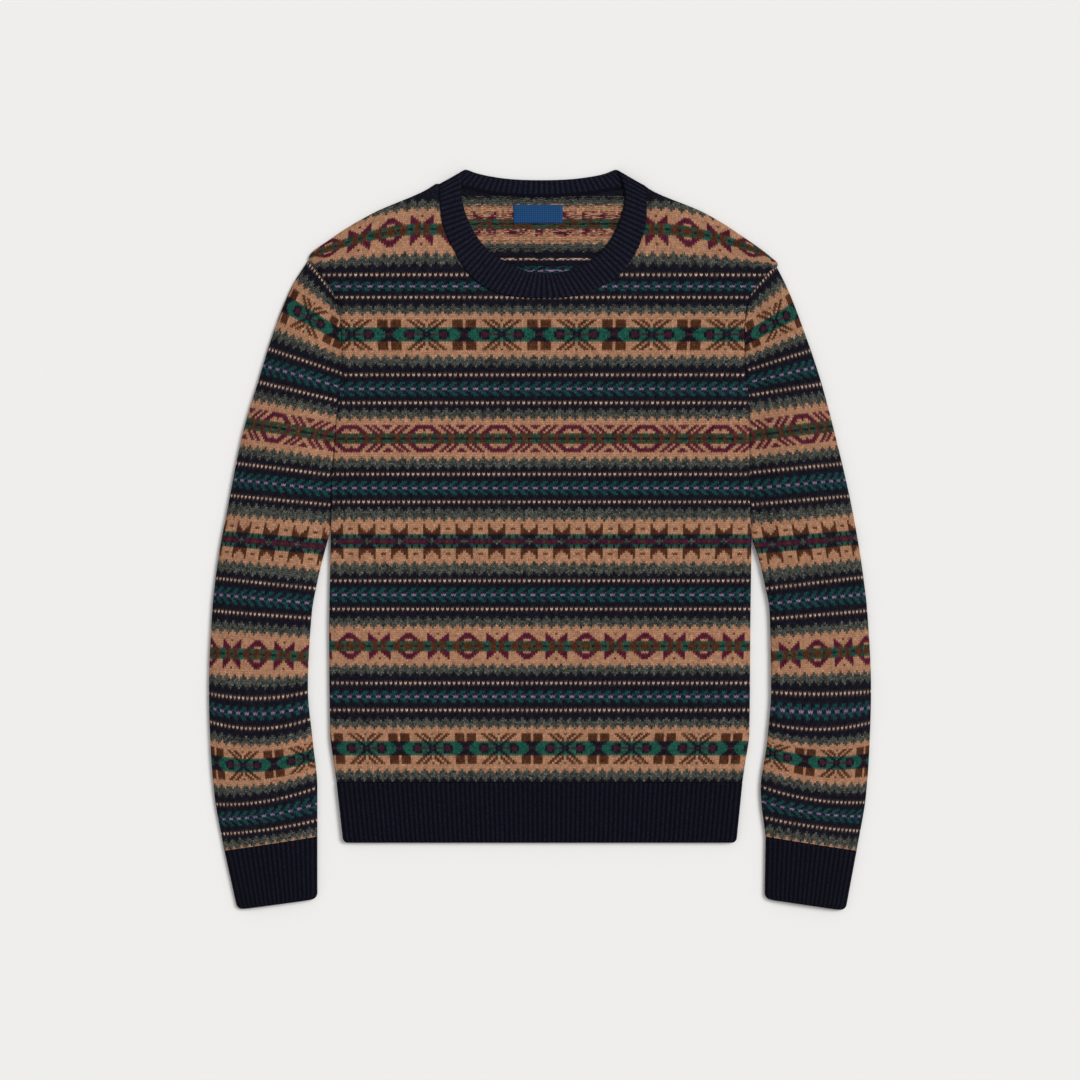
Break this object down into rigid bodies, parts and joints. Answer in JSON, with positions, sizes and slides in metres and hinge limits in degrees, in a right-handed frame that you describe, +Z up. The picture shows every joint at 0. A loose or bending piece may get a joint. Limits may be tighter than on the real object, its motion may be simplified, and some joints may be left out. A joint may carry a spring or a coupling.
{
  "type": "fair isle jumper",
  "caption": "Long-sleeved crew neck jumper in fair isle knit, laid flat, with ribbed neckband, cuffs and hem.",
  "frame": {"origin": "on the surface that the jumper lies on, at the middle of its plan", "axes": "+Y runs up the body to the neck, +Z points up, off the surface, and +X runs to the wearer's left sleeve"},
  "size_m": [0.669, 0.7466, 0.009],
  "materials": {
    "fair_isle_knit": "soft brushed lambswool in stranded stocking stitch, matt with a short nap",
    "navy_rib": "navy lambswool in one by one rib, matt with a short nap",
    "woven_label": "blue woven polyester tape with a faint satin sheen"
  },
  "bodies": {
    "root": {"back": "fair_isle_knit", "front": "fair_isle_knit", "sleeve_right": "fair_isle_knit", "sleeve_left": "fair_isle_knit", "neckband": "navy_rib", "hem_rib_back": "navy_rib", "hem_rib_front": "navy_rib", "cuff_right": "navy_rib", "cuff_left": "navy_rib", "neck_label": "woven_label"}
  },
  "joints": []
}
